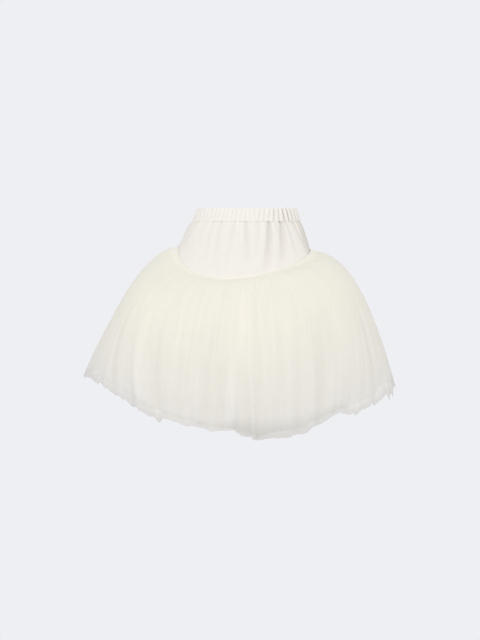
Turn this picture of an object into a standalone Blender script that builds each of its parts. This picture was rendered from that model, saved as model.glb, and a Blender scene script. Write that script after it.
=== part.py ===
"""Short tulle skirt, filled out as if worn.

An elastic waistband carries a fitted yoke of two panels, and three gathered layers of tulle hang from
the yoke's dipped lower edge, each made of a front and a back width. Metres, +Z up, +X to the right as
seen from the front, and the front faces -Y. The origin is the middle of the waist opening, half way up
the waistband, where the wearer holds the skirt. Angles run anticlockwise from +X, seen from above.
"""

import bpy
import numpy as np

# The shape that the skirt is worn on: half width (X) and half depth (Y) at the waistband's two edges
# and at the hip. Below the band it swells by a power of the depth. LEAN is how far it moves to the left
# for each metre down.
BAND_TOP_HALF = (0.1238, 0.0935)
BAND_LOW_HALF = (0.1328, 0.1000)
HIP_HALF = (0.1860, 0.1385)
HIP_DEPTH = 0.1625
HIP_POWER = 0.68
LEAN = 0.060

# Waistband: an elastic in a gathered casing.
BAND_HEIGHT = 0.0325
BAND_WALL = 0.0026
BAND_GATHERS = 56
GATHER_DEPTH = 0.0014

# Yoke: two panels whose lower edge is high at the sides and dips at front and back.
YOKE_WALL = 0.0015
YOKE_SIDE_DEPTH = 0.0835
YOKE_FRONT_DEPTH = 0.1545
YOKE_DIP_POWER = 1.3
YOKE_TILT = 0.004
YOKE_SKEW = 0.013
YOKE_COLUMNS = 60
YOKE_ROWS = (0.0, 0.22, 0.48, 0.75, 1.0)

# Tulle: stands up from the seam in a low roll, then falls in a dome to a hem wider than it is deep.
TULLE_WALL = 0.0012
HEM_HALF = (0.3835, 0.288)
HEM_SHIFT = -0.0135
HEM_SIDE_DEPTH = 0.4175
HEM_FRONT_DEPTH = 0.5065
HEM_DIP_POWER = 3.2
HEM_TILT = 0.016
HEM_SKEW = 0.008
FALL_POWER = 2.05
FALL_TILT = 0.22
ROLL_RISE = 0.0075
ROLL_PEAK = 0.14
FOLD_SWING = 0.22
FOLD_GROWTH = 0.9

# Where the hem was cut longer or shorter, one row each: its angle round the hem in degrees, how much
# lower it hangs there, and half the width of the stretch in degrees.
HEM_DIPS = (
    dict(angle=38, drop=0.008, half=8.0),
    dict(angle=72, drop=-0.009, half=5.0),
    dict(angle=122, drop=0.010, half=8.0),
    dict(angle=150, drop=-0.008, half=6.0),
    dict(angle=229, drop=0.010, half=9.0),
    dict(angle=239, drop=0.007, half=3.0),
    dict(angle=265, drop=-0.012, half=4.5),
    dict(angle=276, drop=0.004, half=5.0),
    dict(angle=311, drop=-0.015, half=7.0),
)

# Seams are closed up to this gap.
SEAM_GAP = 0.0003

# One row for each layer of tulle, from the outside in.
LAYERS = (
    # name, order from outside, gathers, fold depth at the hem, length share, hem rise and fall
    dict(name="tulle_outer", order=0, folds=44, depth=0.0060, length=1.000, ragged=0.008),
    dict(name="tulle_middle", order=1, folds=34, depth=0.0055, length=0.970, ragged=0.008),
    dict(name="tulle_inner", order=2, folds=26, depth=0.0050, length=0.940, ragged=0.008),
)
LAYER_SPREAD = 0.0290
LAYER_ROWS = (0.0, 0.05, 0.13, 0.27, 0.48, 0.73, 1.0)
COLUMNS_PER_FOLD = 4

# The deepest folds, which press through all three layers, one row each: its angle round the hem in
# degrees, how deep its trough is at the hem (a ridge is negative), its half width in degrees, and the
# share of the way down where it starts.
MAIN_FOLDS = (
    dict(angle=17, depth=0.009, half=3.5, start=0.30),
    dict(angle=48, depth=-0.008, half=3.0, start=0.35),
    dict(angle=54, depth=0.010, half=3.5, start=0.35),
    dict(angle=83, depth=0.009, half=3.0, start=0.25),
    dict(angle=108, depth=0.011, half=3.5, start=0.40),
    dict(angle=131, depth=-0.009, half=3.5, start=0.40),
    dict(angle=160, depth=0.008, half=3.5, start=0.30),
    dict(angle=203, depth=0.007, half=3.0, start=0.40),
    dict(angle=221, depth=0.008, half=2.6, start=0.45),
    dict(angle=235, depth=-0.009, half=2.2, start=0.40),
    dict(angle=241, depth=0.012, half=2.6, start=0.40),
    dict(angle=259, depth=0.008, half=2.2, start=0.45),
    dict(angle=268, depth=0.009, half=2.4, start=0.45),
    dict(angle=297, depth=0.011, half=2.6, start=0.45),
    dict(angle=302, depth=-0.008, half=2.2, start=0.45),
    dict(angle=323, depth=0.009, half=3.0, start=0.35),
)

# Folds that run down the yoke from the waistband, one row each: where it starts, in degrees from the
# panel's middle, how far it leans on the way down, its depth, half width and length share.
YOKE_FOLDS = (
    dict(start=-64, lean=-4, depth=0.0020, half=7.0, length=0.90),
    dict(start=-47, lean=3, depth=0.0010, half=5.0, length=0.60),
    dict(start=-34, lean=3, depth=0.0014, half=4.5, length=0.80),
    dict(start=-20, lean=3, depth=0.0012, half=4.5, length=0.70),
    dict(start=-1, lean=1, depth=0.0024, half=4.0, length=0.85),
    dict(start=11, lean=-1, depth=0.0012, half=4.0, length=0.60),
    dict(start=22, lean=-8, depth=0.0036, half=4.2, length=1.00),
    dict(start=34, lean=-8, depth=0.0034, half=5.0, length=0.95),
    dict(start=44, lean=-3, depth=0.0024, half=4.0, length=0.75),
    dict(start=55, lean=-2, depth=0.0020, half=4.5, length=0.80),
    dict(start=70, lean=-2, depth=0.0030, half=6.5, length=0.95),
)

# Colours are linear RGB.
COTTON_COLOUR = (0.86, 0.83, 0.77, 1.0)
TULLE_COLOUR = (0.84, 0.81, 0.70, 1.0)


def worn_point(angle, height, out):
    """Point on the worn shape, moved level by a distance outwards, as x and y. Each section is an
    oval whose halves grow evenly down the band and by a power of the depth below it."""
    depth = BAND_HEIGHT / 2 - height
    down_band = np.clip(depth / BAND_HEIGHT, 0.0, 1.0)
    down_hip = np.clip((depth - BAND_HEIGHT) / (HIP_DEPTH - BAND_HEIGHT / 2), 0.0, None) ** HIP_POWER
    halves = []
    for top, low, hip in zip(BAND_TOP_HALF, BAND_LOW_HALF, HIP_HALF):
        halves.append(top + (low - top) * down_band + (hip - low) * down_hip)
    level_x = np.cos(angle) / halves[0]
    level_y = np.sin(angle) / halves[1]
    size = np.hypot(level_x, level_y)
    x = halves[0] * np.cos(angle) + out * level_x / size - LEAN * depth
    y = halves[1] * np.sin(angle) + out * level_y / size
    return x, y


def seam_height(angle):
    """Height of the yoke's lower edge: a power of the sine dips it at front and back. The right side
    lies a little lower than the left, and the front's left half lower than its right half."""
    dip = (YOKE_FRONT_DEPTH - YOKE_SIDE_DEPTH) * np.abs(np.sin(angle)) ** YOKE_DIP_POWER
    front = 0.5 * (1.0 - np.sin(angle))
    skew = YOKE_TILT * np.cos(angle) + YOKE_SKEW * front * np.sin(2.0 * angle)
    return -(YOKE_SIDE_DEPTH + dip + skew)


def hem_height(angle):
    """Height of the tulle's hem: lowest at front and back, lower at the right side than at the left,
    lower on the front's right half than on its left half, and uneven by a bell at each dip."""
    dip = (HEM_FRONT_DEPTH - HEM_SIDE_DEPTH) * np.abs(np.sin(angle)) ** HEM_DIP_POWER
    front = 0.5 * (1.0 - np.sin(angle))
    skew = HEM_TILT * np.cos(angle) - HEM_SKEW * front * np.sin(2.0 * angle)
    for stretch in HEM_DIPS:
        turn = np.degrees(angle) - stretch["angle"]
        dip = dip + stretch["drop"] * np.exp(-(turn / stretch["half"]) ** 2)
    return -(HEM_SIDE_DEPTH + dip + skew)


def normals(surface, across, down):
    """Unit normals of a surface of two parameters, by central differences. They point outwards,
    because a step down the cloth crossed with a step anticlockwise does."""
    step = 1e-4
    along = surface(across + step, down) - surface(across - step, down)
    fall = surface(across, down + step) - surface(across, np.maximum(down - step, 0.0))
    normal = np.cross(fall, along)
    return normal / np.linalg.norm(normal, axis=-1, keepdims=True)


def dome(across, down):
    """Smooth outer shape of the tulle. A point moves out from the seam in proportion to its share of
    the way down, and drops by a power of that share after the roll has lifted it. Fold lines start
    evenly along the seam, swing to the sides over the dome and hang plumb at the hem."""
    swing = 4.0 * FOLD_SWING * down * (1.0 - down)
    angle = across - swing * np.sin(2.0 * across) ** 3
    seam_z = seam_height(angle)
    seam_x, seam_y = worn_point(angle, seam_z, YOKE_WALL / 2 + SEAM_GAP + TULLE_WALL / 2)
    hem_x = HEM_SHIFT + HEM_HALF[0] * np.cos(angle)
    hem_y = HEM_HALF[1] * np.sin(angle)
    drop = down ** (FALL_POWER + FALL_TILT * np.cos(angle))
    roll = ROLL_RISE * down / ROLL_PEAK * np.exp(1.0 - down / ROLL_PEAK)
    x = seam_x + (hem_x - seam_x) * down
    y = seam_y + (hem_y - seam_y) * down
    z = seam_z + (hem_height(angle) - seam_z) * drop + roll
    return np.stack([x, y, z], axis=-1)


def fold_phase(across, folds):
    """Phase of the gathers round the skirt, bunched and spread by sines that vanish at both sides."""
    bunching = 1.3 * np.sin(2.0 * across) + 0.9 * np.sin(5.0 * across) + 0.5 * np.sin(9.0 * across)
    return folds * across + bunching


def fold_angles(folds):
    """Angles of the mesh columns, so that each gather has a crest, a trough and two flanks."""
    fine = np.linspace(0.0, 2.0 * np.pi, 7201)
    wanted = np.arange(folds * COLUMNS_PER_FOLD + 1) * 2.0 * np.pi / COLUMNS_PER_FOLD
    return np.interp(wanted, fold_phase(fine, folds), fine)


def main_fold_depth(across, down):
    """How far the deepest folds press inwards: a bell across each fold, growing from its start to
    the hem by a smooth step."""
    depth = np.zeros_like(across)
    for fold in MAIN_FOLDS:
        growth = np.clip((down - fold["start"]) / (1.0 - fold["start"]), 0.0, 1.0)
        growth = growth * growth * (3.0 - 2.0 * growth)
        bell = np.exp(-((np.degrees(across) - fold["angle"]) / fold["half"]) ** 2)
        depth = depth + fold["depth"] * growth * bell
    return depth


def tulle_surface(layer):
    """Middle surface of one layer: the dome moved inwards by the layers outside it, with the main
    folds, and with gathers whose depth grows towards the hem and varies round it."""
    def surface(across, down):
        inset = layer["order"] * (2.0 * SEAM_GAP + TULLE_WALL + LAYER_SPREAD * down)
        uneven = 1.0 + 0.30 * np.sin(3.0 * across + layer["order"]) + 0.25 * np.sin(7.0 * across)
        wave = layer["depth"] * uneven * down ** FOLD_GROWTH
        wave = wave * np.sin(fold_phase(across, layer["folds"])) - main_fold_depth(across, down)
        outward = normals(dome, across, down)
        return dome(across, down) + outward * (wave - inset)[..., None]
    return surface


def hem_share(across, layer):
    """How far down the dome the layer reaches, with the raw hem's rise and fall."""
    turn = 1.7 * layer["order"]
    rise = 0.6 * np.sin(11.0 * across - 2.1 + turn) + 0.4 * np.sin(23.0 * across + 2.0 + turn)
    return layer["length"] + layer["ragged"] * rise


def wall_points(surface, across, down, thickness):
    """Outer and inner points of a cloth wall, half its thickness to each side of its surface."""
    middle = surface(across, down)
    reach = normals(surface, across, down) * thickness / 2
    return middle + reach, middle - reach


def cloth_solid(name, outer, inner, closed, material):
    """One closed solid between two grids of points, rows from the top down and columns
    anticlockwise. A closed ring joins its last column to its first; a panel has two end faces."""
    rows, columns = outer.shape[:2]
    index = np.arange(rows * columns).reshape(rows, columns)
    if closed:
        index = np.concatenate([index, index[:, :1]], axis=1)
    hidden = index + rows * columns
    out_faces = quads(index[:-1, :-1], index[1:, :-1], index[1:, 1:], index[:-1, 1:])
    in_faces = quads(hidden[:-1, :-1], hidden[:-1, 1:], hidden[1:, 1:], hidden[1:, :-1])
    top_rim = quads(index[0, :-1], index[0, 1:], hidden[0, 1:], hidden[0, :-1])
    low_rim = quads(index[-1, :-1], hidden[-1, :-1], hidden[-1, 1:], index[-1, 1:])
    faces = [out_faces, in_faces, top_rim, low_rim]
    if not closed:
        faces.append(quads(index[:-1, 0], hidden[:-1, 0], hidden[1:, 0], index[1:, 0]))
        faces.append(quads(index[:-1, -1], index[1:, -1], hidden[1:, -1], hidden[:-1, -1]))
    points = np.concatenate([outer.reshape(-1, 3), inner.reshape(-1, 3)])
    mesh = bpy.data.meshes.new(name)
    mesh.from_pydata(points.tolist(), [], np.concatenate(faces).tolist())
    mesh.update()
    mesh.shade_smooth()
    mesh.materials.append(material)
    piece = bpy.data.objects.new(name, mesh)
    bpy.context.scene.collection.objects.link(piece)


def quads(*corners):
    """Four-cornered faces from four arrays of point numbers."""
    return np.stack([corner.ravel() for corner in corners], axis=-1)


def fabric(name, colour, roughness):
    """Plain matt cloth."""
    material = bpy.data.materials.new(name)
    material.use_nodes = True
    shader = material.node_tree.nodes["Principled BSDF"]
    shader.inputs["Base Color"].default_value = colour
    shader.inputs["Roughness"].default_value = roughness
    shader.inputs["Metallic"].default_value = 0.0
    return material


def make_waistband(material):
    """Ring of the gathered casing: each gather is a pinched crease and a puff of two columns,
    fullest at mid height."""
    columns = np.arange(3 * BAND_GATHERS)
    across, down = np.meshgrid(gather_angles(columns / 3), (0.0, 0.5, 1.0))
    height = BAND_HEIGHT * (0.5 - down)
    pinched = np.where(columns % 3 == 0, -1.0, 0.7)
    fullness = np.where(down == 0.5, 1.0, 0.6)
    puff = GATHER_DEPTH * pinched * fullness
    outer = np.stack([*worn_point(across, height, BAND_WALL / 2 + puff), height], axis=-1)
    inner = np.stack([*worn_point(across, height, 0.3 * puff - BAND_WALL / 2), height], axis=-1)
    cloth_solid("waistband", outer, inner, True, material)


def gather_angles(count):
    """Angle of the given number of gathers round the band: closest together at front and back."""
    fine = np.linspace(0.0, 2.0 * np.pi, 7201)
    gathers = BAND_GATHERS * fine / (2.0 * np.pi) - 1.3 * np.sin(2.0 * fine) + 0.3 * np.sin(3.0 * fine)
    return np.interp(count, gathers, fine)


def make_yoke_panel(name, middle_angle, material):
    """Half of the yoke, from side seam to side seam. Its creases are soft troughs that start at the
    waistband, lean a little and fade out on the way down."""
    half_turn = np.pi / 2
    across, down = np.meshgrid(np.linspace(-half_turn, half_turn, YOKE_COLUMNS + 1), YOKE_ROWS)
    angle = middle_angle + across
    top = -BAND_HEIGHT / 2 - SEAM_GAP
    height = top + (seam_height(angle) - top) * down
    trough = np.zeros_like(across)
    for fold in YOKE_FOLDS:
        centre = np.radians(fold["start"] + fold["lean"] * down)
        spread = np.radians(fold["half"]) * (0.8 + 0.6 * down)
        fade = np.clip(1.0 - (down / fold["length"]) ** 2, 0.0, 1.0)
        trough = trough + fold["depth"] * fade * np.exp(-((across - centre) / spread) ** 2)
    outer = np.stack([*worn_point(angle, height, YOKE_WALL / 2 - trough), height], axis=-1)
    inner = np.stack([*worn_point(angle, height, -YOKE_WALL / 2 - trough), height], axis=-1)
    facing = np.sign(np.sin(middle_angle))
    cloth_solid(name, *trim_at_sides((outer, inner), facing), False, material)


def make_tulle_layer(layer, material):
    """A front and a back width of one layer, which meet in the side plane."""
    surface = tulle_surface(layer)
    angles = fold_angles(layer["folds"])
    half = len(angles) // 2
    widths = (("back", angles[:half + 1], 1.0), ("front", angles[half:], -1.0))
    for side, columns, facing in widths:
        across, rows = np.meshgrid(columns, LAYER_ROWS)
        down = rows * hem_share(across, layer)
        points = wall_points(surface, across, down, TULLE_WALL)
        name = layer["name"] + "_" + side
        cloth_solid(name, *trim_at_sides(points, facing), False, material)


def trim_at_sides(grids, facing):
    """Cuts a panel's ends off straight, half a seam gap short of the plane through both sides."""
    for grid in grids:
        grid[..., 1] = facing * np.maximum(facing * grid[..., 1], SEAM_GAP / 2)
    return grids


for leftover in list(bpy.data.objects):
    bpy.data.objects.remove(leftover, do_unlink=True)

cotton = fabric("ivory_cotton", COTTON_COLOUR, 0.85)
tulle = fabric("ivory_tulle", TULLE_COLOUR, 0.75)
make_waistband(cotton)
make_yoke_panel("yoke_front", -np.pi / 2, cotton)
make_yoke_panel("yoke_back", np.pi / 2, cotton)
for layer_row in LAYERS:
    make_tulle_layer(layer_row, tulle)
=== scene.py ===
import bpy
import numpy as np
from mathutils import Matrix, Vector


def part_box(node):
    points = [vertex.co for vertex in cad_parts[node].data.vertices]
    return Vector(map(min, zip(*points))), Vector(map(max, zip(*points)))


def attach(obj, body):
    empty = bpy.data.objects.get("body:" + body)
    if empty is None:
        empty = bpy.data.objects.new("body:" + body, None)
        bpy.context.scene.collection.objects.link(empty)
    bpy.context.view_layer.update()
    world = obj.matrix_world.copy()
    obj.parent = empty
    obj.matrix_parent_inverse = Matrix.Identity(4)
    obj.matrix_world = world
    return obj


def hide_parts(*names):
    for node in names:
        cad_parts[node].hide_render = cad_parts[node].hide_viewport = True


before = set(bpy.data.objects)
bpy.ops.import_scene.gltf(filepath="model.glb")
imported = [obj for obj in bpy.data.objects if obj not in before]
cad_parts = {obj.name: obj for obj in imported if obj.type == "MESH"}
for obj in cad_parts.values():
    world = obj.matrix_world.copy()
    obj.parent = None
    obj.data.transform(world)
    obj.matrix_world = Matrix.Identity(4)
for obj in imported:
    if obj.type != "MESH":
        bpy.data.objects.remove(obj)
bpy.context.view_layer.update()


# ---- Waistband ----------------------------------------------------------------------------------
# A casing of ivory cotton, folded over a wide elastic and stitched down at its lower edge. The relaxed
# elastic gathers it into upright puffs with a sharp crease between each two, deepest at the right front.

FULL_TURN = 2.0 * np.pi
band_low, band_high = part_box("waistband")
BAND_HEIGHT = band_high.z - band_low.z
BAND_THICKNESS = 0.0024
BAND_CUT = (0.86, 0.036)

# The worn shape: half width and half depth at the band's two edges and at the hips, the hips' depth below
# the waist, the power by which it widens down to them, and its lean to the left for each metre down.
BAND_TOP_HALF = (0.1214, 0.0925)
BAND_LOW_HALF = (0.1328, 0.1000)
HIP_HALF = (0.1860, 0.1385)
HIP_DEPTH = 0.1625
HIP_POWER = 0.68
LEAN = 0.060

# The gathers: their number and bunching, how full and how uneven they are, the depth of a puff and its
# roundness, its share on the inner face, how far the puffs close up at the band's edges and how far the
# painted shade in their creases fades there, how the creases lean, in gathers, and the columns and rows of
# the mesh.
BAND_GATHERS = 56
GATHER_BUNCHING = (dict(size=-1.3, pace=2.0, start=0.0), dict(size=0.3, pace=3.0, start=0.0))
GATHER_LEAST = 0.21
GATHER_SWELLS = (
    # angle round the band in degrees, how much fuller the gathers are there, half width in degrees
    dict(angle=-24, rise=0.74, half=38.0),
    dict(angle=140, rise=0.45, half=30.0),
)
GATHER_UNEVEN = (dict(size=0.20, pace=2.4, start=0.0), dict(size=0.14, pace=1.1, start=2.0))
PUFF_DEPTH = 0.0029
PUFF_POWER = 0.6
INNER_PUFF = 0.45
EDGE_CLOSING = 0.55
CREASE_SHADE_CLOSING = 0.5
CREASE_LEAN = (dict(size=0.16, pace=2.0, start=1.0), dict(size=0.12, pace=7.0, start=0.0))
COLUMNS_PER_GATHER = 16
BAND_FACE_ROWS = 13
BAND_EDGE_ROWS = 5


def sines(angle, waves, turn=0.0):
    """Sum of sines of an angle. Each wave has its size, how many times faster than the angle it
    runs, and where it starts, moved on by a turn."""
    return sum(wave["size"] * np.sin(wave["pace"] * angle + wave["start"] + turn) for wave in waves)


def worn_point(angle, height, out):
    """Point on the worn shape, moved level by a distance outwards, as x and y. Each section is an
    oval whose halves grow evenly down the band and by a power of the depth below it."""
    depth = band_high.z - height
    down_band = np.clip(depth / BAND_HEIGHT, 0.0, 1.0)
    down_hip = np.clip((depth - BAND_HEIGHT) / (HIP_DEPTH + band_low.z), 0.0, None) ** HIP_POWER
    halves = []
    for top, low, hip in zip(BAND_TOP_HALF, BAND_LOW_HALF, HIP_HALF):
        halves.append(top + (low - top) * down_band + (hip - low) * down_hip)
    level_x = np.cos(angle) / halves[0]
    level_y = np.sin(angle) / halves[1]
    size = np.hypot(level_x, level_y)
    x = halves[0] * np.cos(angle) + out * level_x / size - LEAN * depth
    y = halves[1] * np.sin(angle) + out * level_y / size
    return x, y


def gather_phase(angle):
    """Number of gathers passed on the way round: they are closest together at front and back."""
    return BAND_GATHERS * angle / FULL_TURN + sines(angle, GATHER_BUNCHING)


def gather_depth(angle):
    """Share of the full puff: a least share and two flat bells, at the right front and the left back,
    made uneven from one gather to the next by two sines of the phase."""
    turn = (np.degrees(angle) + 180.0) % 360.0 - 180.0
    swell = GATHER_LEAST
    for place in GATHER_SWELLS:
        swell = swell + place["rise"] * np.exp(-((turn - place["angle"]) / place["half"]) ** 4)
    return swell * (1.0 + sines(gather_phase(angle), GATHER_UNEVEN))


def puff(phase):
    """Height across a gather, from -1 in the crease to 1 on the puff: a power of a half sine."""
    return 2.0 * np.abs(np.sin(np.pi * phase)) ** PUFF_POWER - 1.0


def band_profile(face_rows, edge_rows):
    """Closed section of the casing, from the top of its outer face down and round, as four rows:
    distance outwards, height, and the two parts of its normal. Half circles join two straight faces."""
    radius = BAND_THICKNESS / 2
    reach = BAND_HEIGHT / 2 - radius
    face = np.linspace(reach, -reach, face_rows)
    turn = np.linspace(0.0, np.pi, edge_rows + 2)[1:-1]
    centre = np.concatenate([face, np.full(edge_rows, -reach), face[::-1], np.full(edge_rows, reach)])
    normal_out = np.concatenate([np.ones(face_rows), np.cos(turn), -np.ones(face_rows), -np.cos(turn)])
    normal_up = np.concatenate([np.zeros(face_rows), -np.sin(turn), np.zeros(face_rows), np.sin(turn)])
    section = np.stack([radius * normal_out, centre + radius * normal_up, normal_out, normal_up])
    return np.concatenate([section, section[:, :1]], axis=1)


def band_points(angle, section):
    """Points of the gathered casing: the worn oval at each height, moved out by the section, and then
    along the section's normal by the puffs, whose creases lean a little and close up at both edges.
    The second result is each point's painted shade, darkest deep in a crease, where shade falls."""
    out, height, normal_out, normal_up = section[:, :, None]
    share = 2.0 * height / BAND_HEIGHT
    phase = gather_phase(angle) + sines(angle, CREASE_LEAN) * share
    fullness = gather_depth(angle) * (1.0 - EDGE_CLOSING * share ** 4)
    rise = PUFF_DEPTH * fullness * np.where(normal_out < 0.0, INNER_PUFF, 1.0) * puff(phase)
    x, y = worn_point(angle, height, out + rise * normal_out)
    # Painted shade: darker deep in each crease between two puffs, where shade falls.
    painted_shade = gather_depth(angle) * (1.0 - np.abs(np.sin(np.pi * phase))) ** 2
    painted_shade = painted_shade * (1.0 - CREASE_SHADE_CLOSING * share ** 4)
    return np.stack([x, y, height + rise * normal_up], axis=-1), painted_shade


def put_cloth(name, points, painted_shade, cut, shares, ring, loop=False):
    """Makes a piece from a grid of points, rows from the top down and columns anticlockwise, so that
    its faces point outwards. A ring's last column is its first, and a loop's last row is its first.
    Its UV map is the flat cut, in metres, with each row at its share of the way down, and each vertex keeps
    its painted shade, from 0 to 1: how much darker it is painted in creases and folds."""
    rows, columns = points.shape[:2]
    kept = points[:rows - loop, :columns - ring]
    index = np.arange(kept.shape[0] * kept.shape[1]).reshape(kept.shape[:2])
    index = np.pad(index, ((0, int(loop)), (0, int(ring))), mode="wrap")
    flat = np.stack(np.meshgrid(np.linspace(0.0, cut[0], columns), cut[1] * (1.0 - shares)), axis=-1)
    before, after = slice(None, -1), slice(1, None)
    corners = ((before, before), (after, before), (after, after), (before, after))
    faces = np.stack([index[corner].ravel() for corner in corners], axis=-1)
    face_flat = np.stack([flat[corner].reshape(-1, 2) for corner in corners], axis=1)
    mesh = bpy.data.meshes.new(name)
    mesh.from_pydata(kept.reshape(-1, 3).tolist(), [], faces.tolist())
    mesh.uv_layers.new(name="cut").data.foreach_set("uv", face_flat.astype(np.float32).ravel())
    depths = np.clip(painted_shade[:rows - loop, :columns - ring], 0.0, 1.0).astype(np.float32)
    mesh.attributes.new("painted_shade", "FLOAT", "POINT").data.foreach_set("value", depths.ravel())
    mesh.update()
    mesh.shade_smooth()
    piece = bpy.data.objects.new(name, mesh)
    bpy.context.scene.collection.objects.link(piece)
    return piece


class Shade:
    """A shader socket that works in sums: each operator adds the Math node for it."""

    def __init__(self, tree, socket=None):
        self.tree, self.socket = tree, socket

    def node(self, kind, inputs, output=0, stops=(), **settings):
        """Adds a node of any kind: its settings and a ramp's stops first, then its sockets' values
        or links, by name or number."""
        made = self.tree.nodes.new(kind)
        for name, value in settings.items():
            setattr(made, name, value)
        for place, (position, colour) in enumerate(stops):
            if place > 1:
                made.color_ramp.elements.new(position)
            made.color_ramp.elements[place].position = position
            made.color_ramp.elements[place].color = colour
        for name, value in inputs.items():
            if isinstance(value, Shade):
                self.tree.links.new(value.socket, made.inputs[name])
            else:
                made.inputs[name].default_value = value
        return Shade(self.tree, made.outputs[output])

    def math(self, operation, *values):
        """One operation on numbers or sockets, in their order."""
        return self.node("ShaderNodeMath", dict(enumerate(values)), operation=operation)

    def mix(self, first, second):
        """A colour between two colours, by this socket's number from 0 to 1."""
        return self.node("ShaderNodeMix", {0: self, 6: first, 7: second}, 2, data_type="RGBA")

    def __add__(self, other):
        return self.math("ADD", self, other)

    def __sub__(self, other):
        return self.math("SUBTRACT", self, other)

    def __rsub__(self, other):
        return self.math("SUBTRACT", other, self)

    def __mul__(self, other):
        return self.math("MULTIPLY", self, other)

    def __pow__(self, other):
        return self.math("POWER", self, other)

    __radd__, __rmul__ = __add__, __mul__


def start_finish(name, **constants):
    """A new Principled material with its constant sockets set, its shader, and the start of its sums."""
    made = bpy.data.materials.new(name)
    made.use_nodes = True
    shader = made.node_tree.nodes["Principled BSDF"]
    for socket, value in constants.items():
        shader.inputs[socket.replace("_", " ")].default_value = value
    return made, shader, Shade(made.node_tree)


def feed(shader, **values):
    """Links sums to the sockets of a material's shader."""
    for socket, value in values.items():
        value.tree.links.new(value.socket, shader.inputs[socket.replace("_", " ")])


# The cotton's colours, among them the painted shade of its creases, the scales of its threads, slubs and
# mottling, how much each of them shows in its tone and its relief, and how strongly the net's tone covers
# the edge that the net is sewn to. The casing is the same cotton painted a little lighter, as painted light
# for the stronger light on it. No net is sewn to the casing, whose veil is next to nothing high.
COTTON_LIGHT = (0.832, 0.803, 0.741)
COTTON_SHADE = (0.802, 0.770, 0.705)
COTTON_CREASE_SHADE = (0.540, 0.495, 0.405, 1.0)
NET_TONE = (0.860, 0.828, 0.722, 1.0)
CASING_PAINTED_LIGHT = 1.03
THREADS_PER_METRE = 1900.0
SLUB_SCALE = 260.0
MOTTLE_SCALE = 38.0
THREAD_TONE = 0.1
MOTTLE_TONE = 0.8
THREAD_HEIGHT = 0.6
SLUB_HEIGHT = 0.8
RELIEF_STRENGTH = 0.6
RELIEF_DEPTH = 0.00006
VEIL_COVER = 0.7
NO_VEIL = 0.0001


def cotton_finish(name, painted_lightness, veil):
    """Matt plain-weave cotton: two sets of threads from two sines, uneven slubs and soft mottling, with
    painted shade that darkens it in the creases. Its colours are scaled by the painted lightness, which
    paints it lighter where that is above 1. The cut's lower edge takes the tone of the net that is sewn on
    there, most at the edge and fading over the height of the veil."""
    made, shader, shade = start_finish(name, Roughness=0.88, Specular_IOR_Level=0.25,
                                       Sheen_Weight=0.10, Sheen_Roughness=0.6)
    place = shade.node("ShaderNodeUVMap", {}, uv_map="cut")
    across = shade.node("ShaderNodeSeparateXYZ", {0: place}, 0)
    along = shade.node("ShaderNodeSeparateXYZ", {0: place}, 1)
    pace = np.pi * THREADS_PER_METRE
    weave = shade.math("SINE", across * pace) * shade.math("SINE", along * pace)
    slub = shade.node("ShaderNodeTexNoise", {"Vector": place, "Scale": SLUB_SCALE, "Detail": 2.0})
    mottle = shade.node("ShaderNodeTexNoise", {"Vector": place, "Scale": MOTTLE_SCALE, "Detail": 3.0})
    relief = weave * THREAD_HEIGHT + slub * SLUB_HEIGHT
    bump = shade.node("ShaderNodeBump", {"Height": relief, "Strength": RELIEF_STRENGTH,
                                         "Distance": RELIEF_DEPTH})
    light, dark = ((*(painted_lightness * np.array(tone)), 1.0) for tone in (COTTON_LIGHT, COTTON_SHADE))
    body = (mottle * MOTTLE_TONE + weave * THREAD_TONE).mix(dark, light)
    painted_shade = shade.node("ShaderNodeAttribute", {}, 2, attribute_name="painted_shade")
    sewn = shade.node("ShaderNodeMapRange", {"Value": along, "From Min": 0.0, "From Max": veil,
                                             "To Min": VEIL_COVER, "To Max": 0.0})
    # Painted shade: the colour turns toward the crease colour by each vertex's painted shade.
    feed(shader, Base_Color=sewn.mix(painted_shade.mix(body, COTTON_CREASE_SHADE), NET_TONE), Normal=bump)
    return made


band_angles = np.linspace(0.0, FULL_TURN, COLUMNS_PER_GATHER * BAND_GATHERS + 1)
band_section = band_profile(BAND_FACE_ROWS, BAND_EDGE_ROWS)
band_shares = np.linspace(0.0, 1.0, band_section.shape[1])
band = put_cloth("waistband_cloth", *band_points(band_angles, band_section), BAND_CUT, band_shares,
                 ring=True, loop=True)
# The casing's cotton is painted lighter, as painted light.
band.data.materials.append(cotton_finish("cotton_casing_painted_light", CASING_PAINTED_LIGHT, NO_VEIL))
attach(band, "root")
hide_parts("waistband")


# ---- Yoke ---------------------------------------------------------------------------------------
# Two panels of the same cotton, joined at the sides and gathered into the waistband. Small gathers run
# out below the band, and longer soft folds fall down each panel. The lower edge dips at its middle.

YOKE_CUT = (0.52, 0.150)
YOKE_THICKNESS = 0.0012
YOKE_VEIL = 0.012
YOKE_ROWS = 61
YOKE_COLUMNS = 481

# The panel lies a little outside the worn shape and reaches up into the band. Its lower edge has a depth
# below the waist at the sides and at front and back, and is lower at the right and on the front's left.
YOKE_SURFACE = 0.0007
YOKE_TUCK = 0.0006
YOKE_SIDE_DEPTH = 0.0835
YOKE_FRONT_DEPTH = 0.1545
YOKE_DIP_POWER = 1.3
YOKE_TILT = 0.004
YOKE_SKEW = 0.013

# The side seams turn the cloth in over a few hundredths of a radian. The band's gathers run out below it as
# small puffs and creases darkened by painted shade, each over a share of the way down, and the cloth
# ripples slightly.
SEAM_TURN = 0.0010
SEAM_TURN_WIDTH = 0.025
YOKE_PUFF = 0.0010
YOKE_PUFF_FADE = 0.14
YOKE_CREASE_SHADE = 0.40
YOKE_CREASE_SHADE_FADE = 0.10
CREASE_SHADE_SHARPNESS = 6
YOKE_RIPPLE = 0.0004
RIPPLE_PACE = 23.0
RIPPLE_SLANT = 3.0

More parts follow.
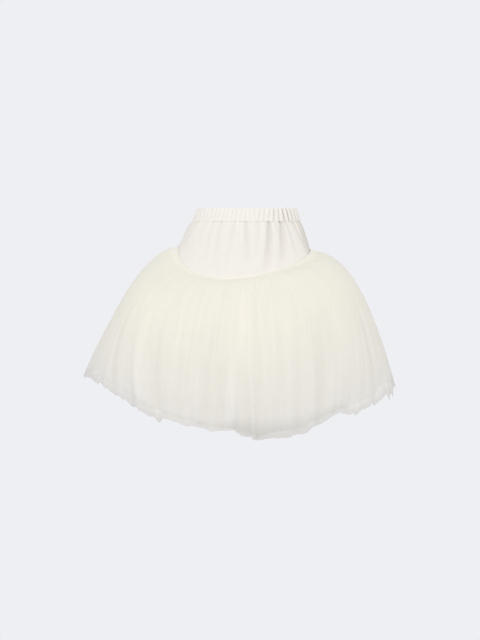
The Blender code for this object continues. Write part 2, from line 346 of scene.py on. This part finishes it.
# A fold spreads downwards from a narrow top, and the band holds it shallow close below its edge.
FOLD_TOP_SPREAD = 0.8
FOLD_SPREAD_GAIN = 0.6
BAND_HOLD = 0.6
BAND_HOLD_FADE = 0.05
YOKE_FOLDS = (
    # degrees from the panel's middle to the fold's top, lean, depth, half width, share of the way down that
    # it reaches, and how dark its crease is painted: painted shade in its trough, and by the right side
    # seam painted shade for the side turned from the light
    dict(start=-78, lean=0, depth=0.0010, half=9.0, length=1.00, tone=0.14),
    dict(start=-64, lean=-4, depth=0.0020, half=6.0, length=0.90, tone=0.08),
    dict(start=-47, lean=3, depth=0.0014, half=3.0, length=0.70, tone=0.06),
    dict(start=-36, lean=3, depth=0.0018, half=2.4, length=0.80, tone=0.09),
    dict(start=-26, lean=3, depth=0.0028, half=2.6, length=0.85, tone=0.12),
    dict(start=-12, lean=-3, depth=0.0028, half=2.4, length=0.90, tone=0.12),
    dict(start=0, lean=4, depth=0.0044, half=2.3, length=0.85, tone=0.20),
    dict(start=12, lean=-1, depth=0.0028, half=2.2, length=0.70, tone=0.12),
    dict(start=24, lean=-6, depth=0.0070, half=2.9, length=1.02, tone=0.38),
    dict(start=31, lean=9, depth=0.0014, half=2.0, length=0.50, tone=0.08),
    dict(start=39, lean=-6, depth=0.0076, half=3.9, length=0.98, tone=0.34),
    dict(start=46, lean=4, depth=0.0036, half=1.9, length=0.85, tone=0.18),
    dict(start=57, lean=12, depth=0.0046, half=3.0, length=0.95, tone=0.26),
    dict(start=69, lean=3, depth=0.0036, half=4.2, length=1.00, tone=0.40),
    dict(start=82, lean=0, depth=0.0030, half=8.0, length=1.90, tone=0.70),
)


def seam_height(angle):
    """Height of the yoke's lower edge: a power of the sine dips it at front and back. The right side
    lies a little lower than the left, and the front's left half lower than its right half."""
    dip = (YOKE_FRONT_DEPTH - YOKE_SIDE_DEPTH) * np.abs(np.sin(angle)) ** YOKE_DIP_POWER
    front = 0.5 * (1.0 - np.sin(angle))
    skew = YOKE_TILT * np.cos(angle) + YOKE_SKEW * front * np.sin(2.0 * angle)
    return -(YOKE_SIDE_DEPTH + dip + skew)


def yoke_points(across, down, middle_angle):
    """Points of one panel. A point's height is its share of the way from the band to the lower edge.
    Folds are bell-shaped troughs that fade by a square, mirrored on the back so that they meet at the side
    seams. The band's gathers die out below it, a sine ripples the cloth, and it turns in at the side seams.
    The second result is each point's painted shade: darker in the gathers' creases and down each fold's
    trough, where shade falls, and darkest by the right side seam, where the cloth turns from the light."""
    angle = middle_angle + across
    mirrored = -across * np.sign(middle_angle)
    top = band_low.z + YOKE_TUCK
    height = top + (seam_height(angle) - top) * down
    phase, fullness = gather_phase(angle), gather_depth(angle)
    # Painted shade in the gathers' creases just below the band, where shade falls.
    painted_shade = YOKE_CREASE_SHADE * fullness * np.abs(np.cos(np.pi * phase)) ** CREASE_SHADE_SHARPNESS
    painted_shade = painted_shade * np.exp(-down / YOKE_CREASE_SHADE_FADE)
    held = 1.0 - BAND_HOLD * np.exp(-down / BAND_HOLD_FADE)
    trough = np.zeros_like(angle)
    for fold in YOKE_FOLDS:
        centre = np.radians(fold["start"] + fold["lean"] * down)
        spread = np.radians(fold["half"]) * (FOLD_TOP_SPREAD + FOLD_SPREAD_GAIN * down)
        fade = np.clip(1.0 - (down / fold["length"]) ** 2, 0.0, 1.0)
        bell = fade * np.exp(-((mirrored - centre) / spread) ** 2)
        trough = trough + fold["depth"] * bell * held
        # Painted shade down each fold's trough, as strong as its tone.
        painted_shade = painted_shade + fold["tone"] * bell
    gathers = YOKE_PUFF * fullness * puff(phase) * np.exp(-down / YOKE_PUFF_FADE)
    ripple = YOKE_RIPPLE * np.sin(RIPPLE_PACE * across + RIPPLE_SLANT * down) * np.sin(np.pi * down)
    side = np.exp(-(np.pi / 2 - np.abs(across)) / SEAM_TURN_WIDTH)
    out = YOKE_SURFACE + gathers + ripple - trough - SEAM_TURN * side
    return np.stack([*worn_point(angle, height, out), height], axis=-1), painted_shade


cotton = cotton_finish("cotton", 1.0, YOKE_VEIL)
for side_name, middle_angle in (("front", -np.pi / 2), ("back", np.pi / 2)):
    shares = np.linspace(0.0, 1.0, YOKE_ROWS)
    across, down = np.meshgrid(np.linspace(-np.pi / 2, np.pi / 2, YOKE_COLUMNS), shares)
    panel = put_cloth("yoke_cloth_" + side_name, *yoke_points(across, down, middle_angle), YOKE_CUT,
                      shares, ring=False)
    wall = panel.modifiers.new("thickness", "SOLIDIFY")
    wall.thickness = YOKE_THICKNESS
    wall.offset = -1.0
    panel.data.materials.append(cotton)
    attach(panel, "root")
    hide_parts("yoke_" + side_name)


# ---- Tulle --------------------------------------------------------------------------------------
# Three layers of soft cream net, each gathered into the yoke's lower seam. They stand up from it in a
# low roll and fall in a dome. Every hem is cut raw, a little uneven, and the outer layer hangs lowest.

COLUMNS_PER_FOLD = 24
ROW_CROWDING = 1.6
LAYERS = (
    # name, order from outside, gathers, their depth at the hem, share of the outer layer's length, the
    # hem's rise and fall, flat cut, cover at the seam, half way and at the hem, the least darkness and
    # density of the hem's edge, whose darkness is painted shade, and rows of the mesh
    dict(name="tulle_outer", order=0, folds=44, depth=0.0058, length=1.000, ragged=0.0056,
         cut=(2.10, 0.420), cover=(0.97, 0.88, 0.50), hem_tone=0.0, rows=64),
    dict(name="tulle_middle", order=1, folds=34, depth=0.0052, length=0.984, ragged=0.0049,
         cut=(1.95, 0.400), cover=(0.90, 0.93, 0.95), hem_tone=0.6, rows=50),
    dict(name="tulle_inner", order=2, folds=26, depth=0.0047, length=0.968, ragged=0.0049,
         cut=(1.80, 0.370), cover=(0.95, 0.95, 0.95), hem_tone=0.6, rows=44),
)

# The outer layer's top laps up over the seam, and the lap fades over a share of the way down. Each layer
# lies inside the one before it, by a step at the seam and a spread that grows to the hem.
SEAM_STEP = 0.0003
SEAM_LAP = 0.0035
LAP_FADE = 0.014
LAYER_STEP = 0.0018
LAYER_SPREAD = 0.0290

# The hem: half width and half depth, its shift to the left, its depth below the waist at the sides and
# at front and back, how much lower it is at the right side and on the front's right, and its dips, which
# fade up the cloth by a power.
HEM_HALF = (0.3835, 0.288)
HEM_SHIFT = -0.0135
HEM_SIDE_DEPTH = 0.4175
HEM_FRONT_DEPTH = 0.5065
HEM_DIP_POWER = 3.2
HEM_TILT = 0.016
HEM_SKEW = 0.008
DIP_FADE = 6.0
HEM_DIPS = (
    # angle round the hem in degrees, how much lower the hem hangs there, half width in degrees
    dict(angle=38, drop=0.008, half=8.0),
    dict(angle=72, drop=-0.009, half=5.0),
    dict(angle=122, drop=0.010, half=8.0),
    dict(angle=150, drop=-0.008, half=6.0),
    dict(angle=183, drop=0.006, half=6.0),
    dict(angle=229, drop=0.012, half=9.0),
    dict(angle=265, drop=-0.012, half=4.5),
    dict(angle=275, drop=0.006, half=3.0),
    dict(angle=290, drop=0.007, half=6.0),
    dict(angle=296, drop=-0.006, half=2.5),
    dict(angle=307, drop=-0.015, half=6.5),
    dict(angle=345.5, drop=-0.017, half=6.0),
)

# The dome: the power of its fall and how much larger that is at the right, the roll's rise at front and
# back, its sink at the sides and more at the right, the share of the way down where it peaks, how far the
# cloth stands out at the hem, and how far the fold lines swing to the sides, in radians.
FALL_POWER = 2.05
FALL_TILT = 0.22
ROLL_RISE = 0.0030
ROLL_SINK = (0.0022, 0.0018)
ROLL_PEAK = 0.14
FULLNESS = 0.0050
FOLD_SWING = 0.22

# The gathers: their bunching, how they wander and how uneven they are, the share of their depth at the
# sides and what front and back add to it, the power by which they grow to the hem, and how strongly folds
# and gathers are painted into the net's tone, as painted shade in their hollows and painted highlight on
# their crests.
NET_BUNCHING = (dict(size=1.3, pace=2.0, start=0.0), dict(size=0.9, pace=5.0, start=0.0),
                dict(size=0.5, pace=9.0, start=0.0))
FOLD_WANDER = 0.5
FOLD_UNEVEN = (0.30, 0.25)
SIDE_FOLDING = 0.03
FRONT_FOLDING = 0.36
FOLD_GROWTH = 2.5
FOLD_PAINTED_SHADE = 36.0
GATHER_PAINTED_SHADE = 0.05

# Finer pleats run between the gathers, and the smallest ones start just below the seam and fade.
PLEAT_DEPTH = 0.0012
PLEATS_PER_FOLD = 2.7
PLEAT_WANDER = 1.5
SEAM_PLEAT_DEPTH = 0.0003
SEAM_PLEATS_PER_FOLD = 5.0
SEAM_PLEAT_START = 0.02
SEAM_PLEAT_FADE = 0.12

# The largest folds: the share of their depth that the net follows, and the length over which they end.
MAIN_FOLD_SHARE = 0.55
MAIN_FOLD_END = 0.4
MAIN_FOLDS = (
    # angle round the hem in degrees, trough depth at the hem, half width in degrees, shares of the way
    # down where it starts and where it has died out, past the hem if it runs out of it
    dict(angle=17, depth=0.009, half=3.5, start=0.30, end=2.0),
    dict(angle=48, depth=-0.008, half=3.0, start=0.35, end=2.0),
    dict(angle=54, depth=0.010, half=3.5, start=0.35, end=2.0),
    dict(angle=83, depth=0.009, half=3.0, start=0.25, end=2.0),
    dict(angle=96, depth=-0.010, half=3.0, start=0.05, end=0.8),
    dict(angle=108, depth=0.011, half=3.5, start=0.40, end=2.0),
    dict(angle=131, depth=-0.009, half=3.5, start=0.40, end=2.0),
    dict(angle=160, depth=0.008, half=3.5, start=0.30, end=2.0),
    dict(angle=181, depth=-0.015, half=5.0, start=0.70, end=2.0),
    dict(angle=216.5, depth=0.005, half=3.0, start=0.45, end=2.0),
    dict(angle=232, depth=-0.013, half=2.2, start=0.45, end=2.0),
    dict(angle=239, depth=0.012, half=2.2, start=0.45, end=2.0),
    dict(angle=247, depth=0.007, half=1.8, start=0.60, end=2.0),
    dict(angle=257, depth=0.010, half=1.8, start=0.50, end=2.0),
    dict(angle=262.5, depth=0.010, half=1.8, start=0.45, end=2.0),
    dict(angle=267, depth=-0.008, half=1.4, start=0.60, end=2.0),
    dict(angle=270.5, depth=-0.024, half=2.6, start=0.05, end=0.8),
    dict(angle=272, depth=0.011, half=1.6, start=0.70, end=2.0),
    dict(angle=276, depth=0.005, half=1.4, start=0.60, end=2.0),
    dict(angle=282, depth=0.006, half=2.0, start=0.60, end=2.0),
    dict(angle=290, depth=0.005, half=1.8, start=0.55, end=2.0),
    dict(angle=298.5, depth=0.011, half=2.3, start=0.40, end=2.0),
    dict(angle=302, depth=-0.004, half=1.8, start=0.45, end=2.0),
    dict(angle=327, depth=0.004, half=3.0, start=0.35, end=2.0),
)

# The raw edge: its waves and their turn from layer to layer, the seed, number and size of the scissors'
# steps as shares of the length, where they are torn deeper, and the largest teeth.
HEM_WAVES = (dict(size=0.6, pace=11.0, start=-2.1), dict(size=0.4, pace=23.0, start=2.0))
HEM_TURN = 1.7
CUT_SEED = 11
CUT_STEPS = 330
CUT_SIZE = 0.0055
TORN_SIZE = 0.012
TORN_ANGLE = 348.0
TORN_HALF = 9.0
HEM_TEETH = (
    # angle round the outer layer's hem in degrees, share of its length that a torn tooth adds, half width
    dict(angle=64, share=0.020, half=1.6),
    dict(angle=157, share=0.025, half=2.0),
    dict(angle=236.8, share=0.017, half=2.6),
    dict(angle=240.0, share=0.018, half=1.4),
    dict(angle=314, share=0.008, half=1.8),
    dict(angle=337.0, share=0.022, half=0.8),
    dict(angle=341.5, share=0.016, half=0.7),
    dict(angle=346.5, share=0.012, half=0.7),
    dict(angle=352.0, share=0.012, half=0.7),
)


def hem_height(angle, down):
    """Height of the tulle's hem: lowest at front and back, lower at the right side than at the left,
    lower on the front's right half than on its left half, and uneven by a bell at each dip, which
    fades up the cloth by a power."""
    dip = (HEM_FRONT_DEPTH - HEM_SIDE_DEPTH) * np.abs(np.sin(angle)) ** HEM_DIP_POWER
    front = 0.5 * (1.0 - np.sin(angle))
    skew = HEM_TILT * np.cos(angle) - HEM_SKEW * front * np.sin(2.0 * angle)
    for stretch in HEM_DIPS:
        turn = np.degrees(angle) - stretch["angle"]
        dip = dip + stretch["drop"] * np.exp(-(turn / stretch["half"]) ** 2) * down ** DIP_FADE
    return -(HEM_SIDE_DEPTH + dip + skew)


def dome(across, down, lap):
    """Smooth outer shape of the tulle. A point moves out from the seam in proportion to its share of
    the way down, and drops by a power of that share after the roll has lifted it. Fold lines start
    evenly along the seam, swing to the sides over the dome and hang plumb at the hem."""
    swing = 4.0 * FOLD_SWING * down * (1.0 - down)
    angle = across - swing * np.sin(2.0 * across) ** 3
    seam_z = seam_height(angle)
    lap = lap * np.exp(-down / LAP_FADE)
    seam_x, seam_y = worn_point(angle, seam_z + lap, YOKE_SURFACE + SEAM_STEP)
    hem_x = HEM_SHIFT + HEM_HALF[0] * np.cos(angle)
    hem_y = HEM_HALF[1] * np.sin(angle)
    drop = down ** (FALL_POWER + FALL_TILT * np.cos(angle))
    sink = np.cos(angle) ** 2 * (ROLL_SINK[0] + ROLL_SINK[1] * np.cos(angle))
    roll = (ROLL_RISE * np.sin(angle) ** 2 - sink) * down / ROLL_PEAK * np.exp(1.0 - down / ROLL_PEAK)
    x = seam_x + (hem_x - seam_x) * down
    y = seam_y + (hem_y - seam_y) * down
    z = seam_z + (hem_height(angle, down) - seam_z) * drop + roll + lap
    return np.stack([x, y, z], axis=-1)


def dome_normals(across, down, lap):
    """Unit normals by central differences: a step down the cloth crossed with one anticlockwise."""
    step = 1e-4
    along = dome(across + step, down, lap) - dome(across - step, down, lap)
    fall = dome(across, down + step, lap) - dome(across, np.maximum(down - step, 0.0), lap)
    normal = np.cross(fall, along)
    return normal / np.linalg.norm(normal, axis=-1, keepdims=True)


def main_fold_depth(across, down):
    """How far the deepest folds press inwards: a bell across each fold, growing from its start to
    the hem by a smooth step, times a line that falls to nothing where it dies out."""
    depth = np.zeros_like(across)
    for fold in MAIN_FOLDS:
        growth = np.clip((down - fold["start"]) / (1.0 - fold["start"]), 0.0, 1.0)
        ending = np.clip((fold["end"] - down) / MAIN_FOLD_END, 0.0, 1.0)
        bell = np.exp(-((np.degrees(across) - fold["angle"]) / fold["half"]) ** 2)
        depth = depth + fold["depth"] * growth * growth * (3.0 - 2.0 * growth) * ending * bell
    return depth


def tulle_points(across, down, layer):
    """Points of one layer: the dome moved inwards by the layers outside it, with the main folds, its
    gathers, which are sines of a bunched and wandering phase and grow by a power to the hem, and finer
    pleats of the same phase. The gathers are deepest at front and back. The second result is each point's
    painted shade, 0.5 on the dome itself: higher down the main folds' troughs and in the gathers' hollows,
    where shade falls, and lower on ridges and crests, as painted highlight."""
    inset = layer["order"] * (LAYER_STEP + LAYER_SPREAD * down)
    wide, close = FOLD_UNEVEN
    uneven = 1.0 + wide * np.sin(3.0 * across + layer["order"]) + close * np.sin(7.0 * across)
    phase = layer["folds"] * across + sines(across, NET_BUNCHING)
    phase = phase + FOLD_WANDER * np.sin(3.0 * down + 5.0 * across)
    folding = SIDE_FOLDING + FRONT_FOLDING * np.sin(across) ** 4
    wave = folding * layer["depth"] * uneven * down ** FOLD_GROWTH * np.sin(phase)
    pleat_phase = PLEATS_PER_FOLD * phase + PLEAT_WANDER * np.sin(4.0 * across + 2.0 * down)
    pleats = PLEAT_DEPTH * folding * np.sin(pleat_phase) * down
    near_seam = np.clip(down / SEAM_PLEAT_START, 0.0, 1.0) * np.exp(-down / SEAM_PLEAT_FADE)
    seam_pleats = SEAM_PLEAT_DEPTH * np.sin(SEAM_PLEATS_PER_FOLD * phase) * near_seam
    fold = main_fold_depth(across, down)
    move = FULLNESS * down + wave + pleats + seam_pleats - MAIN_FOLD_SHARE * fold - inset
    lap = SEAM_LAP if layer["order"] == 0 else 0.0
    points = dome(across, down, lap) + dome_normals(across, down, lap) * move[..., None]
    # Painted shade: higher down the main folds' troughs and the gathers' hollows, lower on ridges and
    # crests as painted highlight.
    return points, 0.5 + FOLD_PAINTED_SHADE * fold - GATHER_PAINTED_SHADE * np.sin(phase) * np.sqrt(down)


def hem_share(across, layer, random):
    """How far down the dome the layer reaches: two sines as the hem's rise and fall, random steps
    where the scissors cut, larger in a bell where it is torn, and a narrow bell for each tooth of the
    outer layer."""
    places = np.sort(random.uniform(0.0, FULL_TURN, CUT_STEPS))
    steps = random.uniform(-1.0, 1.0, CUT_STEPS)
    degrees = np.degrees(across)
    torn = CUT_SIZE + TORN_SIZE * np.exp(-((degrees - TORN_ANGLE) / TORN_HALF) ** 2)
    share = layer["length"] + layer["ragged"] * sines(across, HEM_WAVES, HEM_TURN * layer["order"])
    share = share + torn * np.interp(across, places, steps, period=FULL_TURN)
    for tooth in HEM_TEETH if layer["order"] == 0 else ():
        share = share + tooth["share"] * np.exp(-((degrees - tooth["angle"]) / tooth["half"]) ** 2)
    return share


# The net's colours, among them painted shade, the pitch of its holes, how far holes and streaks change its
# cover, how far streaks and the painted shade of creases change its tone, and the share of the way up from
# where the cover goes over to the seam's.
TULLE_TONES_AND_SHADE = (
    # share of the way up from the hem, and the net's colour there, darker where it meets the yoke; painted
    # shade makes it lightest half way up and darker down to the hem
    (0.00, (0.780, 0.764, 0.730, 1.0)), (0.06, (0.812, 0.790, 0.738, 1.0)),
    (0.14, (0.862, 0.835, 0.756, 1.0)), (0.30, (0.898, 0.869, 0.762, 1.0)),
    (0.50, (0.922, 0.890, 0.766, 1.0)), (0.65, (0.903, 0.871, 0.753, 1.0)),
    (0.96, (0.897, 0.865, 0.751, 1.0)), (1.00, (0.820, 0.789, 0.708, 1.0)),
)
TULLE_SHADE = (0.770, 0.745, 0.655, 1.0)
TULLE_HEM_SHADE = (0.600, 0.580, 0.540, 1.0)
NET_PITCH = 0.0016
HOLE_COVER = 0.03
STREAK_SCALE = (105.0, 4.0, 1.0)
STREAK_COVER = 0.08
STREAK_TONE = 1.3
LIT_CREASE = 0.2
SEAM_COVER_FROM = 0.90

# The raw edge goes by how dark it is: a pale stretch has a wide sheer strip, and a dark one is denser and
# has a wide dark strip of painted shade, for the shadow in the crimped edge and in the skirt behind it.
# Each strip has a least width too.
HEM_SHADE_AND_DENSITY = (
    # share of the way round, and how dense the hem's edge is there and how dark its painted shade
    (0.00, 0.50), (0.03, 0.32), (0.10, 0.50), (0.25, 0.25), (0.38, 0.60), (0.50, 0.72),
    (0.61, 0.70), (0.655, 0.78), (0.68, 0.60), (0.73, 0.64), (0.755, 0.90), (0.80, 0.84),
    (0.84, 0.70), (0.88, 0.62), (0.925, 0.60), (0.94, 0.80), (0.975, 0.80), (1.00, 0.50),
)
HEM_DENSITY = 0.4
SHEER_WIDTH = 0.022
DARK_WIDTH = 0.036
LEAST_WIDTH = 0.003
DARK_SHADE_STRENGTH = 0.85
LEAST_SHADE_STRENGTH = 0.1


def grey_stops(pairs):
    """A ramp's stops that carry a number: each pair is a position and the number, as a grey."""
    return [(position, (number, number, number, 1.0)) for position, number in pairs]


def tulle_finish(layer):
    """Sheer net. Its cover goes from the crowded gathers at the seam to the net half way, and over the
    sheer strip to the single cloth at the hem, with streaks along the folds and a fine honeycomb of round
    holes from three sets of sines. Its colour goes up a ramp with painted shade that darkens it towards the
    hem. It is darker in streaks and, as painted shade, in folds, and lighter on their ridges. Over the dark
    strip it turns to the hem's painted shade by a smooth step."""
    made, shader, shade = start_finish(layer["name"] + "_net", Roughness=0.75, Specular_IOR_Level=0.15,
                                       Sheen_Weight=0.10, Sheen_Roughness=0.5)
    place = shade.node("ShaderNodeUVMap", {}, uv_map="cut")
    across = shade.node("ShaderNodeSeparateXYZ", {0: place}, 0)
    along = shade.node("ShaderNodeSeparateXYZ", {0: place}, 1)
    round_share = across * (1.0 / layer["cut"][0])
    up_share = along * (1.0 / layer["cut"][1])

    row = across * (FULL_TURN / NET_PITCH)
    slant = row * -0.5
    rise = along * (0.5 * np.sqrt(3.0) * FULL_TURN / NET_PITCH)
    holes = shade.math("COSINE", row)
    holes = holes + shade.math("COSINE", slant + rise) + shade.math("COSINE", slant - rise)
    stretched = shade.node("ShaderNodeMapping", {"Vector": place, "Scale": STREAK_SCALE})
    streaks = shade.node("ShaderNodeTexNoise", {"Vector": stretched, "Scale": 1.0, "Detail": 3.0}) - 0.5

    seam_cover, middle_cover, hem_cover = layer["cover"]
    upper_stops = grey_stops(((SEAM_COVER_FROM, middle_cover), (1.0, seam_cover)))
    upper_cover = shade.node("ShaderNodeValToRGB", {0: up_share}, stops=upper_stops)
    dark = shade.node("ShaderNodeValToRGB", {0: round_share}, stops=grey_stops(HEM_SHADE_AND_DENSITY))
    dark = shade.math("MAXIMUM", dark, layer["hem_tone"])
    sheer_width = (1.0 - dark) ** 3.0 * SHEER_WIDTH + LEAST_WIDTH
    cover = shade.node("ShaderNodeMapRange", {
        "Value": along, "From Min": 0.0, "From Max": sheer_width,
        "To Min": dark * HEM_DENSITY + hem_cover, "To Max": upper_cover})
    cover = cover + streaks * STREAK_COVER - holes * HOLE_COVER
    cover = shade.math("MAXIMUM", shade.math("MINIMUM", cover, 1.0), 0.0)

    # The ramp's colour carries painted shade that darkens it towards the hem.
    tone = shade.node("ShaderNodeValToRGB", {0: up_share}, stops=TULLE_TONES_AND_SHADE)
    painted_shade = shade.node("ShaderNodeAttribute", {}, 2, attribute_name="painted_shade")
    body = (streaks * STREAK_TONE + (painted_shade - LIT_CREASE)).mix(tone, TULLE_SHADE)
    # Painted shade: the raw edge darkens over the dark strip, for the shadow in its crimped edge and in the
    # skirt behind it.
    dark_width = dark ** 2.0 * DARK_WIDTH + LEAST_WIDTH
    hem_shade_strip = shade.node("ShaderNodeMapRange", {
        "Value": along, "From Min": 0.0, "From Max": dark_width, "To Min": 1.0, "To Max": 0.0},
        interpolation_type="SMOOTHSTEP")
    hem_shade_strip = hem_shade_strip * (dark * DARK_SHADE_STRENGTH + LEAST_SHADE_STRENGTH)
    feed(shader, Base_Color=hem_shade_strip.mix(body, TULLE_HEM_SHADE), Alpha=cover)
    return made


random = np.random.default_rng(CUT_SEED)
for layer in LAYERS:
    columns = np.linspace(0.0, FULL_TURN, layer["folds"] * COLUMNS_PER_FOLD + 1)
    shares = np.linspace(0.0, 1.0, layer["rows"] + 1) ** ROW_CROWDING
    across, down = np.meshgrid(columns, shares)
    down = down * hem_share(across[:1], layer, random)
    piece = put_cloth(layer["name"] + "_cloth", *tulle_points(across, down, layer), layer["cut"],
                      shares, ring=True)
    piece.data.materials.append(tulle_finish(layer))
    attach(piece, "root")
    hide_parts(layer["name"] + "_front", layer["name"] + "_back")


# ---- Studio -------------------------------------------------------------------------------------
# A pale floor and an even pale surround of the same tone, dimmer from below the horizon, a large soft
# light in front and a weak one at each side, and a camera at the height of the waistband's upper edge,
# tilted slightly down.

STUDIO_COLOUR = (0.855, 0.863, 0.896, 1.0)
BLACK = (0.0, 0.0, 0.0, 1.0)
LOW_LIGHT = 0.70
HORIZON = (-0.30, -0.05)
FLOOR_HEIGHT = -1.05
FLOOR_SIZE = 60.0

scene = bpy.context.scene
scene.view_settings.view_transform = "Standard"
world = bpy.data.worlds.new("surround")
scene.world = world
world.use_nodes = True
surround = Shade(world.node_tree)
direction = surround.node("ShaderNodeTexCoord", {}, 0)
upward = surround.node("ShaderNodeSeparateXYZ", {0: direction}, 2)
strength = surround.node("ShaderNodeMapRange", {"Value": upward, "From Min": HORIZON[0],
                                                "From Max": HORIZON[1], "To Min": LOW_LIGHT, "To Max": 1.0})
background = world.node_tree.nodes["Background"]
background.inputs["Color"].default_value = STUDIO_COLOUR
world.node_tree.links.new(strength.socket, background.inputs["Strength"])

bpy.ops.mesh.primitive_plane_add(size=FLOOR_SIZE, location=(0.0, 0.0, FLOOR_HEIGHT))
floor = bpy.context.object
floor.name = "floor"
floor.visible_diffuse = False
floor_finish = start_finish("floor", Base_Color=BLACK, Specular_IOR_Level=0.0,
                            Emission_Color=STUDIO_COLOUR, Emission_Strength=1.0)[0]
floor.data.materials.append(floor_finish)

LIGHT_AIM = Vector((0.0, 0.0, -0.25))
LIGHTS = (
    # name, place, width and power
    dict(name="key", place=(-0.15, -3.4, 1.4), size=3.0, power=47.0),
    dict(name="left_fill", place=(-3.0, -0.9, -0.4), size=2.4, power=7.0),
    dict(name="right_fill", place=(3.0, -0.9, -0.4), size=2.4, power=8.5),
)
for light in LIGHTS:
    lamp_data = bpy.data.lights.new(light["name"], "AREA")
    lamp_data.size = light["size"]
    lamp_data.energy = light["power"]
    lamp = bpy.data.objects.new(light["name"], lamp_data)
    lamp.location = light["place"]
    lamp.visible_camera = False
    lamp.rotation_euler = (LIGHT_AIM - lamp.location).to_track_quat("-Z", "Y").to_euler()
    scene.collection.objects.link(lamp)

CAMERA_DISTANCE = 3.0
METRES_PER_PIXEL = 0.0025
FRAME_PIXELS = (480, 640)
WAIST_PIXEL = (246.65, 208.0)
SENSOR_WIDTH = 36.0

focal_pixels = CAMERA_DISTANCE / METRES_PER_PIXEL
tilt = np.arctan((FRAME_PIXELS[1] / 2 - WAIST_PIXEL[1]) / focal_pixels)
camera_x = (FRAME_PIXELS[0] / 2 - WAIST_PIXEL[0]) * METRES_PER_PIXEL
camera_data = bpy.data.cameras.new("camera")
camera_data.sensor_width = SENSOR_WIDTH
camera_data.lens = SENSOR_WIDTH * focal_pixels / FRAME_PIXELS[1]
camera = bpy.data.objects.new("camera", camera_data)
camera.location = (camera_x, -CAMERA_DISTANCE, band_high.z)
camera.rotation_euler = (np.pi / 2 - tilt, 0.0, 0.0)
scene.collection.objects.link(camera)
scene.camera = camera
